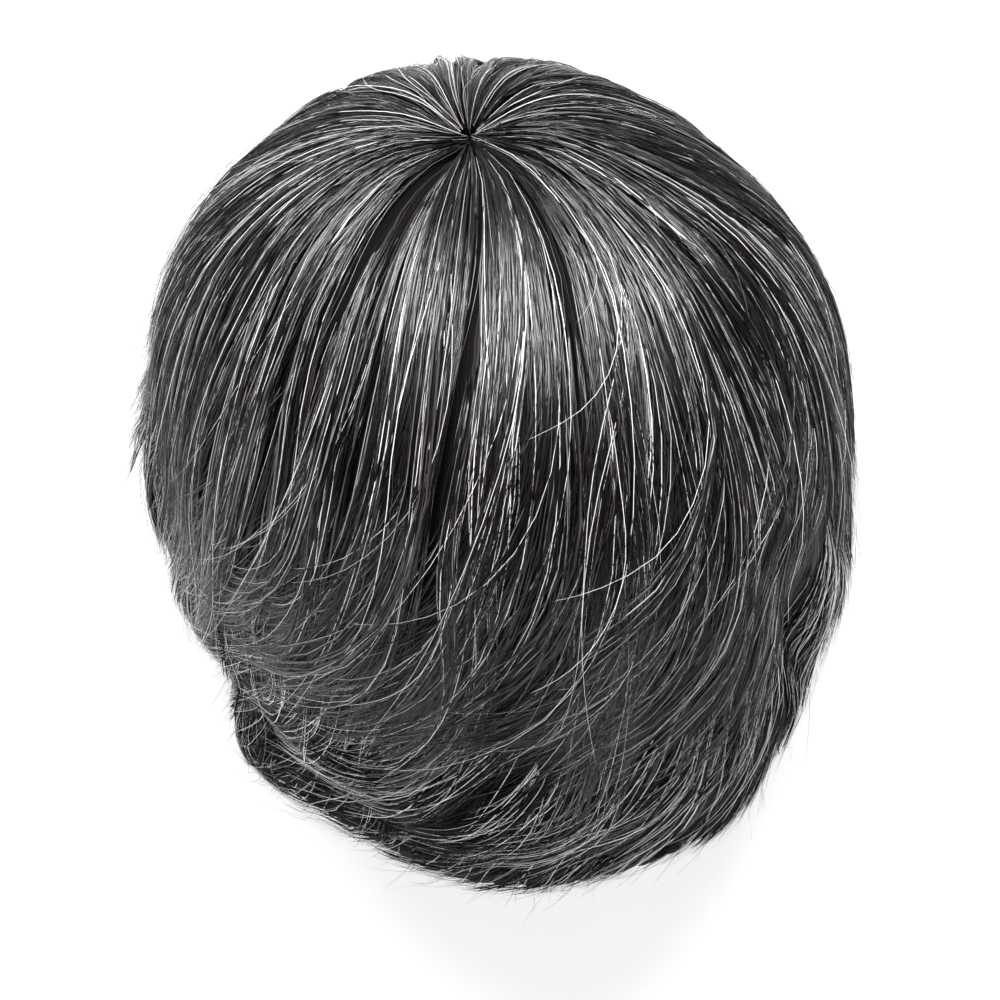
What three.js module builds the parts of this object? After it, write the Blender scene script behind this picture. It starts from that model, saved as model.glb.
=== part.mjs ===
// A men's toupee: a thin domed base that sits on the top of the head, and the salt-and-pepper hair knotted
// to it, combed out of one whorl at the crown in three overlapping layers of locks.
// Millimetres, +Z up. The wearer faces -Y, the wearer's left is +X, and the piece rests on z = 0.
import * as THREE from 'three';

// The head that the base fits, measured from the dome's middle, over the widest part of the head
const headWidth = 166;
const headFrontReach = 87;
const headBackReach = 124;
const headHeight = 120;
const headRoundness = 2.3;

// The knotted base, whose edge runs along the hairline
const baseWall = 1.2;
const baseEdgeHeight = 60;
const baseNapeDrop = 12;

// The hair's depth over the base, as combed
const hairDepthSides = 19;
const hairDepthFront = 17;
const hairDepthBack = 23;
const hairDepthTop = 17;
const hairRoundness = 2.5;

// Close to the surface that it rests on, the hair pulls in by a share of its depth
const hemTuck = 0.45;
const hemTuckHeight = 50;

// The whorl, where every lock starts
const whorlToRight = 9;
const whorlBehind = 69;
const whorlDimple = 5;
const whorlDimpleRadius = 16;
const rosetteRadius = 13;

// Clearances of the hair over the base, and between neighbours in one layer
const seatGap = 0.6;
const seamGap = 0.8;

// Locks: each lies a little over the next one, and is swept more the further it goes from the whorl.
// valley is a share of a row's ridge and tip a share of its tip, for the columns across one lock.
const locksPerQuarter = 8;
const rosetteLocks = 10;
const sweepGathering = 1.5;
const lockProfile = [
  { valley: 1, tip: -1 },
  { valley: 0, tip: 1 },
  { valley: 0.3, tip: 0.35 },
];

// Facets of the base, round it and down it
const baseColumns = 48;
const baseRows = 7;

// Round the head, by the azimuth of a lock's hem seen from above, from the wearer's left towards the back.
// reach is a share of the plain oval, sweep is how far the comb turns the tips, in degrees,
// fall moves the ends of the upper layers, as a share of the lock's way from whorl to hem, and
// midFlick and hemFlick lift the tips of those two layers, as shares of tipLift.
const tipLift = 9;
const roundTheHead = [
  { azimuth: 0, reach: 0.995, sweep: -22, fall: -0.02, midFlick: 0.1, hemFlick: 0 },
  { azimuth: 30, reach: 1.085, sweep: -16, fall: -0.01, midFlick: 0, hemFlick: 0 },
  { azimuth: 60, reach: 1.04, sweep: -8, fall: 0.04, midFlick: 0, hemFlick: 0.2 },
  { azimuth: 90, reach: 1, sweep: 0, fall: 0.06, midFlick: 0, hemFlick: 0.3 },
  { azimuth: 120, reach: 1.07, sweep: 8, fall: 0.03, midFlick: 0.1, hemFlick: 0.2 },
  { azimuth: 150, reach: 1.12, sweep: 14, fall: -0.03, midFlick: 0.7, hemFlick: 0.1 },
  { azimuth: 180, reach: 0.965, sweep: 14, fall: -0.07, midFlick: 0.7, hemFlick: 0.1 },
  { azimuth: 210, reach: 0.9, sweep: 8, fall: -0.06, midFlick: 0.1, hemFlick: 0.4 },
  { azimuth: 240, reach: 0.94, sweep: -8, fall: -0.03, midFlick: 0, hemFlick: 0.6 },
  { azimuth: 270, reach: 1.01, sweep: -20, fall: -0.02, midFlick: 0, hemFlick: 0.2 },
  { azimuth: 300, reach: 1.06, sweep: -24, fall: 0, midFlick: 0, hemFlick: 0.1 },
  { azimuth: 330, reach: 1, sweep: -24, fall: 0, midFlick: 0, hemFlick: 0 },
];

// Each layer's section along a lock. along runs from 0 at the rosette's rim to 1 at the surface below, and
// outer and inner are heights above the base as shares of the hair's whole depth there. ridge is how far
// the valleys lie below the ridges, as such a share too, tip is how far tips run past the valleys, as a
// share of the way from whorl to hem, and flick is how much of the lift the row takes.
const topSection = [
  { along: 0, outer: 1, inner: 0.02, ridge: 0.05, tip: 0, flick: 0 },
  { along: 0.07, outer: 1, inner: 0.02, ridge: 0.09, tip: 0, flick: 0 },
  { along: 0.15, outer: 1, inner: 0.3, ridge: 0.13, tip: 0, flick: 0 },
  { along: 0.24, outer: 1, inner: 0.68, ridge: 0.15, tip: 0, flick: 0 },
  { along: 0.34, outer: 1, inner: 0.7, ridge: 0.15, tip: 0, flick: 0 },
  { along: 0.44, outer: 1, inner: 0.7, ridge: 0.15, tip: 0.01, flick: 0 },
  { along: 0.52, outer: 0.96, inner: 0.7, ridge: 0.13, tip: 0.03, flick: 0 },
  { along: 0.58, outer: 0.87, inner: 0.72, ridge: 0.03, tip: 0.05, flick: 0 },
];
const midSection = [
  { along: 0.24, outer: 0.3, inner: 0.07, ridge: 0, tip: 0, flick: 0 },
  { along: 0.34, outer: 0.6, inner: 0.08, ridge: 0, tip: 0, flick: 0 },
  { along: 0.46, outer: 0.6, inner: 0.34, ridge: 0, tip: 0, flick: 0 },
  { along: 0.57, outer: 0.6, inner: 0.36, ridge: 0, tip: 0, flick: 0 },
  { along: 0.65, outer: 0.66, inner: 0.4, ridge: 0.08, tip: 0, flick: 0 },
  { along: 0.74, outer: 0.93, inner: 0.5, ridge: 0.15, tip: 0.025, flick: 0.5 },
  { along: 0.82, outer: 0.88, inner: 0.7, ridge: 0.05, tip: 0.05, flick: 1 },
];
const hemSection = [
  { along: 0.53, outer: 0.2, inner: 0.05, ridge: 0, tip: 0, flick: 0 },
  { along: 0.65, outer: 0.28, inner: 0.05, ridge: 0, tip: 0, flick: 0 },
  { along: 0.76, outer: 0.36, inner: 0.12, ridge: 0.04, tip: 0, flick: 0 },
  { along: 0.87, outer: 0.54, inner: 0.24, ridge: 0.12, tip: 0, flick: 0 },
  { along: 0.94, outer: 0.86, inner: 0.4, ridge: 0.16, tip: 0.005, flick: 0.3 },
  { along: 1, outer: 0.84, inner: 0.54, ridge: 0.05, tip: 0.05, flick: 0.6 },
];
const rosetteSection = [
  { along: 0.3, outer: 0.9, inner: 0.02, ridge: 0.05 },
  { along: 0.65, outer: 0.96, inner: 0.02, ridge: 0.08 },
  { along: 1, outer: 1, inner: 0.02, ridge: 0.06 },
];
const rosettePole = { outer: 0.84, inner: 0.02 };

const hairColour = 0x39373a;
const hairUnderColour = 0x2b292c;
const baseColour = 0xb9a892;
const hairRoughness = 0.55;
const baseRoughness = 0.85;

const radians = THREE.MathUtils.degToRad;
const degrees = THREE.MathUtils.radToDeg;

// The value of a column of roundTheHead at any azimuth, on one smooth closed curve through its rows.
function aroundHead(column, azimuth) {
  const rows = roundTheHead;
  const step = 360 / rows.length;
  const place = THREE.MathUtils.euclideanModulo(azimuth, 360) / step;
  const first = Math.floor(place) % rows.length;
  const u = place - Math.floor(place);
  const at = (i) => rows[(first + i + rows.length) % rows.length][column];
  const bend = (2 * at(-1) - 5 * at(0) + 4 * at(1) - at(2)) * u + (3 * (at(0) - at(1)) + at(2) - at(-1)) * u * u;
  return at(0) + 0.5 * u * (at(1) - at(-1) + bend);
}

// How far a rounded oval dome reaches along a unit direction.
function domeReach(direction, { side, front, back, height, roundness }) {
  const end = direction.y < 0 ? front : back;
  const flat = Math.hypot(direction.x / side, direction.y / end);
  const up = Math.abs(direction.z) / height;
  return Math.pow(Math.pow(flat, roundness) + Math.pow(up, roundness), -1 / roundness);
}

const baseOutside = {
  side: headWidth / 2 + baseWall,
  front: headFrontReach + baseWall,
  back: headBackReach + baseWall,
  height: headHeight + baseWall,
  roundness: headRoundness,
};

const hairOval = {
  side: baseOutside.side + hairDepthSides,
  front: baseOutside.front + hairDepthFront,
  back: baseOutside.back + hairDepthBack,
  height: baseOutside.height + hairDepthTop,
  roundness: hairRoundness,
};

// Where the hair is seated along a unit direction, just clear of the base.
function seatReach(direction) {
  return domeReach(direction, baseOutside) + seatGap;
}

// Direction of the whorl, found on the combed dome above its place in plan.
function whorlDirection() {
  const flat = Math.hypot(whorlToRight / hairOval.side, whorlBehind / hairOval.back);
  const height = hairOval.height * Math.pow(1 - Math.pow(flat, hairRoundness), 1 / hairRoundness);
  return new THREE.Vector3(-whorlToRight, whorlBehind, height).normalize();
}
const toWhorl = whorlDirection();

// The depth of the hair over its seat along a unit direction, before ridges.
function hairDepth(direction) {
  const share = aroundHead('reach', degrees(Math.atan2(direction.y, direction.x)));
  const oval = { ...hairOval, side: hairOval.side * share, front: hairOval.front * share, back: hairOval.back * share };
  const reach = domeReach(direction, oval);
  const low = Math.max(0, 1 - (reach * direction.z) / hemTuckHeight);
  const away = reach * direction.angleTo(toWhorl);
  const dimple = whorlDimple * Math.exp(-Math.pow(away / whorlDimpleRadius, 2));
  return (reach - seatReach(direction)) * (1 - hemTuck * low * low) - dimple;
}

const whorlReach = seatReach(toWhorl) + hairDepth(toWhorl);

// Direction turned from the whorl by an angle, towards the hem at an azimuth.
function turnedFromWhorl(hem, angle) {
  const across = hem.clone().addScaledVector(toWhorl, -hem.dot(toWhorl)).normalize();
  return toWhorl.clone().multiplyScalar(Math.cos(angle)).addScaledVector(across, Math.sin(angle));
}

// Direction on the surface at an azimuth, where the dome meets what it rests on.
function hemDirection(azimuth) {
  return new THREE.Vector3(Math.cos(radians(azimuth)), Math.sin(radians(azimuth)), 0);
}

// Direction at a share of the way from the rosette's rim to the hem, on the lock of one hem azimuth.
function combedDirection(hemAzimuth, along) {
  const hem = hemDirection(hemAzimuth + aroundHead('sweep', hemAzimuth) * Math.pow(along, sweepGathering));
  const rim = (rosetteRadius + seamGap / 2) / whorlReach;
  return turnedFromWhorl(hem, THREE.MathUtils.lerp(rim, toWhorl.angleTo(hem), along));
}

// Joins columns of points into one closed sheet with an outside and an inside. With poles, the columns go
// all round and meet in the two poles. Without them the sheet is a strip with two sides and two ends.
function closedSheet(outside, inside, poles = null) {
  const columns = outside.length;
  const rows = outside[0].length;
  const points = [...outside.flat(), ...inside.flat(), ...(poles ?? [])];
  const positions = points.flatMap((p) => [p.x, p.y, p.z]);
  const out = (c, r) => (c % columns) * rows + r;
  const into = (c, r) => (columns + (c % columns)) * rows + r;
  const triangles = [];
  const quad = (a, b, c, d) => triangles.push(a, b, c, a, c, d);
  const last = rows - 1;
  for (let c = 0; c < (poles ? columns : columns - 1); c += 1) {
    for (let r = 0; r < last; r += 1) {
      quad(out(c, r), out(c, r + 1), out(c + 1, r + 1), out(c + 1, r));
      quad(into(c, r), into(c + 1, r), into(c + 1, r + 1), into(c, r + 1));
    }
    quad(out(c, last), into(c, last), into(c + 1, last), out(c + 1, last));
    if (poles) {
      triangles.push(2 * columns * rows, out(c, 0), out(c + 1, 0));
      triangles.push(2 * columns * rows + 1, into(c + 1, 0), into(c, 0));
    } else {
      quad(out(c, 0), out(c + 1, 0), into(c + 1, 0), into(c, 0));
    }
  }
  if (!poles) {
    const end = columns - 1;
    for (let r = 0; r < last; r += 1) {
      quad(out(0, r), into(0, r), into(0, r + 1), out(0, r + 1));
      quad(out(end, r), out(end, r + 1), into(end, r + 1), into(end, r));
    }
  }
  const geometry = new THREE.BufferGeometry();
  geometry.setAttribute('position', new THREE.Float32BufferAttribute(positions, 3));
  geometry.setIndex(triangles);
  geometry.computeVertexNormals();
  return geometry;
}

// The outer and inner point of a lock sheet in one direction, with its outside lowered in the valleys.
function lockPoints(direction, { outer, inner }, valley = 0, lift = 0) {
  const seat = seatReach(direction) + lift;
  const depth = hairDepth(direction);
  return [outer - valley, inner].map((height) => direction.clone().multiplyScalar(seat + depth * height));
}

// The locks of one layer over a quarter of the head, as one closed solid on its own backing.
function lockLayer({ section, from, to, shift, flick }) {
  const lockStep = (to - from) / locksPerQuarter;
  const lastColumn = locksPerQuarter * lockProfile.length;
  const outside = [];
  const inside = [];
  for (let c = 0; c <= lastColumn; c += 1) {
    const azimuth = from + (c / lockProfile.length + shift) * lockStep;
    const { valley, tip } = lockProfile[c % lockProfile.length];
    const fall = aroundHead('fall', azimuth);
    const lift = flick ? tipLift * aroundHead(flick, azimuth) : 0;
    const intoQuarter = Number(c === 0) - Number(c === lastColumn);
    const outerColumn = [];
    const innerColumn = [];
    section.forEach((row) => {
      const moved = 4 * fall * row.along * (1 - row.along);
      const along = Math.min(1, row.along + moved + tip * row.tip);
      const here = combedDirection(azimuth, along);
      const next = combedDirection(azimuth + lockStep / lockProfile.length, along);
      const inset = next.sub(here).normalize().multiplyScalar((intoQuarter * seamGap) / 2);
      const [outer, inner] = lockPoints(here, row, valley * row.ridge, lift * row.flick);
      outerColumn.push(outer.add(inset));
      innerColumn.push(inner.add(inset));
    });
    outside.push(outerColumn);
    inside.push(innerColumn);
  }
  return closedSheet(outside, inside);
}

// The small rosette of roots round the whorl, dented in the middle where all partings meet.
function whorlRosette() {
  const columns = rosetteLocks * lockProfile.length;
  const outside = [];
  const inside = [];
  for (let c = 0; c < columns; c += 1) {
    const { valley } = lockProfile[c % lockProfile.length];
    const outerColumn = [];
    const innerColumn = [];
    rosetteSection.forEach((row) => {
      const distance = (rosetteRadius - seamGap / 2) * row.along;
      const direction = turnedFromWhorl(hemDirection((360 * c) / columns), distance / whorlReach);
      const [outer, inner] = lockPoints(direction, row, valley * row.ridge);
      outerColumn.push(outer);
      innerColumn.push(inner);
    });
    outside.push(outerColumn);
    inside.push(innerColumn);
  }
  return closedSheet(outside, inside, lockPoints(toWhorl, rosettePole));
}

// A point of the base at an azimuth and a share of the way from its crown to its edge.
function basePoint(azimuth, share, wall) {
  const turned = radians(azimuth);
  const height = headHeight + wall;
  const back = Math.max(0, Math.sin(turned));
  const edge = baseEdgeHeight - baseNapeDrop * back * back;
  const angle = share * Math.acos(Math.pow(edge / height, headRoundness / 2));
  const flat = Math.pow(Math.sin(angle), 2 / headRoundness);
  const rise = height * Math.pow(Math.cos(angle), 2 / headRoundness);
  const halfWidth = headWidth / 2 + wall;
  const halfLength = (Math.sin(turned) < 0 ? headFrontReach : headBackReach) + wall;
  const reach = flat / Math.hypot(Math.cos(turned) / halfWidth, Math.sin(turned) / halfLength);
  return new THREE.Vector3(reach * Math.cos(turned), reach * Math.sin(turned), rise);
}

// The base: a thin dome, open below.
function baseCap() {
  const columnOf = (azimuth, wall) =>
    Array.from({ length: baseRows }, (_, r) => basePoint(azimuth, (r + 1) / baseRows, wall));
  const azimuths = Array.from({ length: baseColumns }, (_, c) => (360 * c) / baseColumns);
  const outside = azimuths.map((azimuth) => columnOf(azimuth, baseWall));
  const inside = azimuths.map((azimuth) => columnOf(azimuth, 0));
  return closedSheet(outside, inside, [basePoint(0, 0, baseWall), basePoint(0, 0, 0)]);
}

const hair = new THREE.MeshStandardMaterial({ color: hairColour, roughness: hairRoughness, metalness: 0 });
const underHair = new THREE.MeshStandardMaterial({ color: hairUnderColour, roughness: hairRoughness, metalness: 0 });
const base = new THREE.MeshStandardMaterial({ color: baseColour, roughness: baseRoughness, metalness: 0 });

const quarters = [
  { side: 'front', from: 225, to: 315 },
  { side: 'left', from: 315, to: 405 },
  { side: 'back', from: 45, to: 135 },
  { side: 'right', from: 135, to: 225 },
];
const layers = [
  { layer: 'top', section: topSection, shift: 0, flick: null, material: hair },
  { layer: 'mid', section: midSection, shift: 0.5, flick: 'midFlick', material: hair },
  { layer: 'hem', section: hemSection, shift: 0, flick: 'hemFlick', material: underHair },
];

const toupee = new THREE.Group();

// Adds a sub-part to the toupee.
function addPiece(name, geometry, material) {
  const mesh = new THREE.Mesh(geometry, material);
  mesh.name = name;
  toupee.add(mesh);
}

addPiece('base_cap', baseCap(), base);
addPiece('whorl_rosette', whorlRosette(), hair);
for (const { layer, section, shift, flick, material } of layers) {
  for (const { side, from, to } of quarters) {
    addPiece(`${layer}_locks_${side}`, lockLayer({ section, from, to, shift, flick }), material);
  }
}

// The origin is under the middle of the whole piece, on the surface that it rests on.
const extent = new THREE.Box3().setFromObject(toupee);
const middle = extent.getCenter(new THREE.Vector3());
toupee.position.set(-middle.x, -middle.y, -extent.min.z);

export default toupee;
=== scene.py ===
import logging
import math
from dataclasses import dataclass
from enum import Enum

import bpy
import numpy as np
from bpy.types import Material, Mesh, Node, NodeSocket, NodeTree, Object
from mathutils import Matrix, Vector
from mathutils.bvhtree import BVHTree


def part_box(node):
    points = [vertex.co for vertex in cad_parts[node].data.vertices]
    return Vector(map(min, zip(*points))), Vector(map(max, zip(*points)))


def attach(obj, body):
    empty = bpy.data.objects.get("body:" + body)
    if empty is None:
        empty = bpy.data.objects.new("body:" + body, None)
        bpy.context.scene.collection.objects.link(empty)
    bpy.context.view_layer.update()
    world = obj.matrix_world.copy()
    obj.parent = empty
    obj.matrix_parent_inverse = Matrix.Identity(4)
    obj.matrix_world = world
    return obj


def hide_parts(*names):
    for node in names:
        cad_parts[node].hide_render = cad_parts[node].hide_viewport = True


# A men's toupee of short salt-and-pepper hair, dressed round its solids. Metres, +Z up, the wearer faces -Y.
# The hair is meshes of single strands, combed over dark undercoats, and both follow the solids' surfaces.

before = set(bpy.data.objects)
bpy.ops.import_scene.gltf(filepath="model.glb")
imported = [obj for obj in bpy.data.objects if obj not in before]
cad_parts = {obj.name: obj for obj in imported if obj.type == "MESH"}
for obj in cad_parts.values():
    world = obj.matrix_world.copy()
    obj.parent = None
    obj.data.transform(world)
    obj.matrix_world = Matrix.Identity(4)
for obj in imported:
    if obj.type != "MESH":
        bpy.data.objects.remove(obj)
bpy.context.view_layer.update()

MM = 0.001
SIDES = ("front", "left", "back", "right")
MEAN_REACH = 128 * MM
DARK_SHARE = 0.74
HOLLOW_AZIMUTH = 329.0
HOLLOW_SPREAD = 6.0
HAIR_MAP = "hairs_mm"
BAKE_MAP = "OFBake"
# How far apart the darkest and the palest strand lie on the map of hairs, so that no two have the same lines
TONE_SPREAD_MM = 9000
# Blender's colour mixer shares its sockets' names with other kinds of mixer, so they go by number
MIX_SHARE, MIX_FIRST, MIX_SECOND, MIX_RESULT = 0, 6, 7, 2
log = logging.getLogger("toupee")


class Layer(Enum):
    """The three layers that the hair is cut in, from the outside in."""

    TOP = "top"
    MID = "mid"
    HEM = "hem"


# How far the loose hair of each layer stands above its solids high on the dome, in millimetres
LOFTS = {Layer.TOP: 2.4, Layer.MID: 1.6, Layer.HEM: 0.8}


def linear(colour: str) -> tuple[float, float, float, float]:
    """Turns an sRGB hex colour to linear light.

    Args:
        colour: The colour as "#rrggbb".

    Returns:
        Red, green, blue and an alpha of 1, in linear light.
    """
    parts = [int(colour[i : i + 2], 16) / 255 for i in (1, 3, 5)]
    light = [c / 12.92 if c <= 0.04045 else ((c + 0.055) / 1.055) ** 2.4 for c in parts]
    return (*light, 1.0)


def smooth(x: np.ndarray) -> np.ndarray:
    """Returns 0 below 0, 1 above 1, and an even slope's curve between."""
    x = np.clip(x, 0.0, 1.0)
    return x * x * (3 - 2 * x)


def unit(vectors: np.ndarray) -> np.ndarray:
    """Returns vectors of length 1, along the last axis."""
    return vectors / np.linalg.norm(vectors, axis=-1, keepdims=True)


# How the hair is combed


@dataclass(frozen=True)
class CombRow:
    """How the comb goes for the locks whose hem lies at one azimuth, from the wearer's left to the back.

    sweep turns a lock as it runs down, in degrees. fall moves the layers' ends, as a share of the way from
    whorl to hem. curl hooks the tips sideways, in degrees, forward on the wearer's left and to the wearer's
    right in front. white is the share of white and grey hairs. It is partly the hair's own mix and partly
    painted shade: it is kept low behind, at azimuths 60 to 120, to darken the back where the key light
    falls. flick lifts the middle layer's tips.
    """

    azimuth: float
    sweep: float
    fall: float
    curl: float
    white: float
    flick: float


COMB = (
    CombRow(azimuth=0, sweep=-22, fall=-0.02, curl=30, white=0.26, flick=1),
    CombRow(azimuth=30, sweep=-16, fall=-0.01, curl=18, white=0.26, flick=0),
    # Painted shade: white is kept low from here to 120, behind, to darken the back
    CombRow(azimuth=60, sweep=-8, fall=0.04, curl=8, white=0.12, flick=0),
    CombRow(azimuth=90, sweep=0, fall=0.06, curl=0, white=0.1, flick=0),
    CombRow(azimuth=120, sweep=8, fall=0.03, curl=-4, white=0.14, flick=1),
    CombRow(azimuth=150, sweep=14, fall=-0.03, curl=-12, white=0.3, flick=4),
    CombRow(azimuth=180, sweep=14, fall=-0.07, curl=-18, white=0.34, flick=5),
    CombRow(azimuth=210, sweep=8, fall=-0.06, curl=10, white=0.34, flick=1.5),
    CombRow(azimuth=240, sweep=-8, fall=-0.03, curl=62, white=0.25, flick=1),
    CombRow(azimuth=270, sweep=-20, fall=0.0, curl=70, white=0.2, flick=0),
    CombRow(azimuth=300, sweep=-24, fall=0.09, curl=42, white=0.2, flick=0),
    CombRow(azimuth=330, sweep=-24, fall=0.03, curl=30, white=0.22, flick=0),
)


def combed(column: str, azimuth: np.ndarray) -> np.ndarray:
    """Reads a column of the comb's table on one smooth closed curve.

    Args:
        column: The field of CombRow to read.
        azimuth: Hem azimuths, in degrees.

    Returns:
        The column's value at each azimuth.
    """
    values = np.array([getattr(row, column) for row in COMB], float)
    place = np.mod(azimuth, 360.0) / (360.0 / len(values))
    first = np.floor(place).astype(int)
    u = place - first
    before, here, after, beyond = (values[(first + i) % len(values)] for i in (-1, 0, 1, 2))
    bend = (2 * before - 5 * here + 4 * after - beyond) * u
    bend += (3 * (here - after) + beyond - before) * u * u
    return here + 0.5 * u * (after - before + bend)


def by_hollow(azimuth: np.ndarray) -> np.ndarray:
    """Returns 1 at the hollow beside the side lock, which is darkened there with painted shade, and 0 away
    from it, at hem azimuths in degrees.
    """
    off = (azimuth - HOLLOW_AZIMUTH + 180) % 360 - 180
    return np.exp(-((off / HOLLOW_SPREAD) ** 2))


# The forms that the hair follows


class Dome:
    """Directions over the toupee, from the middle of the dome on the surface that it rests on.

    The comb gathers its sweep towards the hem, swirls round the whorl and fans out in front of it, in
    degrees, and each of the two fades over its reach from the whorl, in radians. nearest is the least angle
    from the whorl that a strand may have.
    """

    widest_share = 0.4036
    gathering = 1.5
    swirl = 8.0
    swirl_reach = 0.2
    fan = 20.0
    fan_reach = 0.45
    nearest = 0.004

    def __init__(self) -> None:
        """Finds the dome's middle under the base, and the whorl under the rosette of roots."""
        low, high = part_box("base_cap")
        across = (low.x + high.x) / 2
        self.centre = np.array([across, low.y + self.widest_share * (high.y - low.y), 0.0])
        roots = unit(mesh_points(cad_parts["whorl_rosette"].data) - self.centre)
        self.whorl = unit(roots.mean(axis=0))
        self.rim = float(np.arccos(np.clip(roots @ self.whorl, -1, 1)).max())

    def whole_angle(self, azimuth: np.ndarray) -> np.ndarray:
        """Returns the angle from the whorl down to the hem at each azimuth, in radians."""
        hem = hem_directions(azimuth)
        return np.arccos(np.clip(hem @ self.whorl, -1, 1))

    def directions(self, azimuth: np.ndarray, along: np.ndarray) -> np.ndarray:
        """Gives the directions of points on combed locks.

        Args:
            azimuth: Hem azimuth of each point's lock, in degrees.
            along: Share of the way from the rosette's rim to the hem; below 0 it nears the whorl.

        Returns:
            Unit vectors from the dome's middle.
        """
        spread = np.clip(along, 0.0, None) ** self.gathering
        angle = self.rim + along * (self.whole_angle(azimuth) - self.rim)
        angle = np.clip(angle, 0, None)
        twist = self.swirl * np.exp(-angle / self.swirl_reach)
        off_front = np.clip(np.mod(azimuth - 90, 360) - 180, -90, 90)
        twist += self.fan * np.sin(np.radians(2 * off_front)) * np.exp(-((angle / self.fan_reach) ** 2))
        hem = hem_directions(azimuth + combed("sweep", azimuth) * spread + twist)
        angle = self.rim + along * (np.arccos(np.clip(hem @ self.whorl, -1, 1)) - self.rim)
        angle = np.clip(angle, self.nearest, None)[..., None]
        across = unit(hem - (hem @ self.whorl)[..., None] * self.whorl)
        return self.whorl * np.cos(angle) + across * np.sin(angle)


def hem_directions(azimuth: np.ndarray) -> np.ndarray:
    """Returns level unit vectors at azimuths in degrees."""
    turned = np.radians(azimuth)
    return np.stack([np.cos(turned), np.sin(turned), np.zeros_like(turned)], axis=-1)


def mesh_points(mesh: Mesh) -> np.ndarray:
    """Reads a mesh's vertices.

    Args:
        mesh: The mesh.

    Returns:
        A row for each vertex, in metres.
    """
    points = np.empty(len(mesh.vertices) * 3)
    mesh.vertices.foreach_get("co", points)
    return points.reshape(-1, 3)


@dataclass(frozen=True)
class Dent:
    """A place low on the head where the loose hair lies deeper than its solids, or stands off from them.

    azimuth and spread are degrees round the dome's middle, low and high the elevations that it lies between,
    fade the degrees over which it ends there, and depth is millimetres, below 0 where the hair stands off.
    """

    azimuth: float
    spread: float
    low: float
    high: float
    depth: float
    fade: float = 10

    def __call__(self, azimuth: np.ndarray, elevation: np.ndarray) -> np.ndarray:
        """Works out the depth in some directions.

        Args:
            azimuth: Degrees round the dome's middle.
            elevation: Degrees above its level.

        Returns:
            The depth there, in metres.
        """
        off = (azimuth - self.azimuth + 180) % 360 - 180
        above = smooth((elevation - self.low) / self.fade + 0.5)
        band = above * smooth((self.high - elevation) / self.fade + 0.5)
        return self.depth * MM * np.exp(-((off / self.spread) ** 2)) * band


# The hollow beside the side lock, that lock, the notch over the splayed tuft, the flat low front, the tuft,
# the scallops above it on either side of the temple and the fuller low corner on the wearer's left
LOW_DENTS = (
    Dent(azimuth=327, spread=5, low=24, high=48, depth=6.5),
    Dent(azimuth=343, spread=6, low=26, high=50, depth=-3),
    Dent(azimuth=219, spread=11, low=12, high=38, depth=5.5),
    Dent(azimuth=241, spread=14, low=-10, high=25, depth=3.2),
    Dent(azimuth=217, spread=6, low=-10, high=8, depth=-1.5),
    Dent(azimuth=201, spread=10, low=-10, high=16, depth=7),
    Dent(azimuth=185, spread=6, low=12, high=32, depth=5),
    Dent(azimuth=310, spread=14, low=-10, high=20, depth=-3),
)
HIGH_DENTS = (LOW_DENTS[0], Dent(azimuth=58, spread=30, low=20, high=76, depth=3.2))


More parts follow.
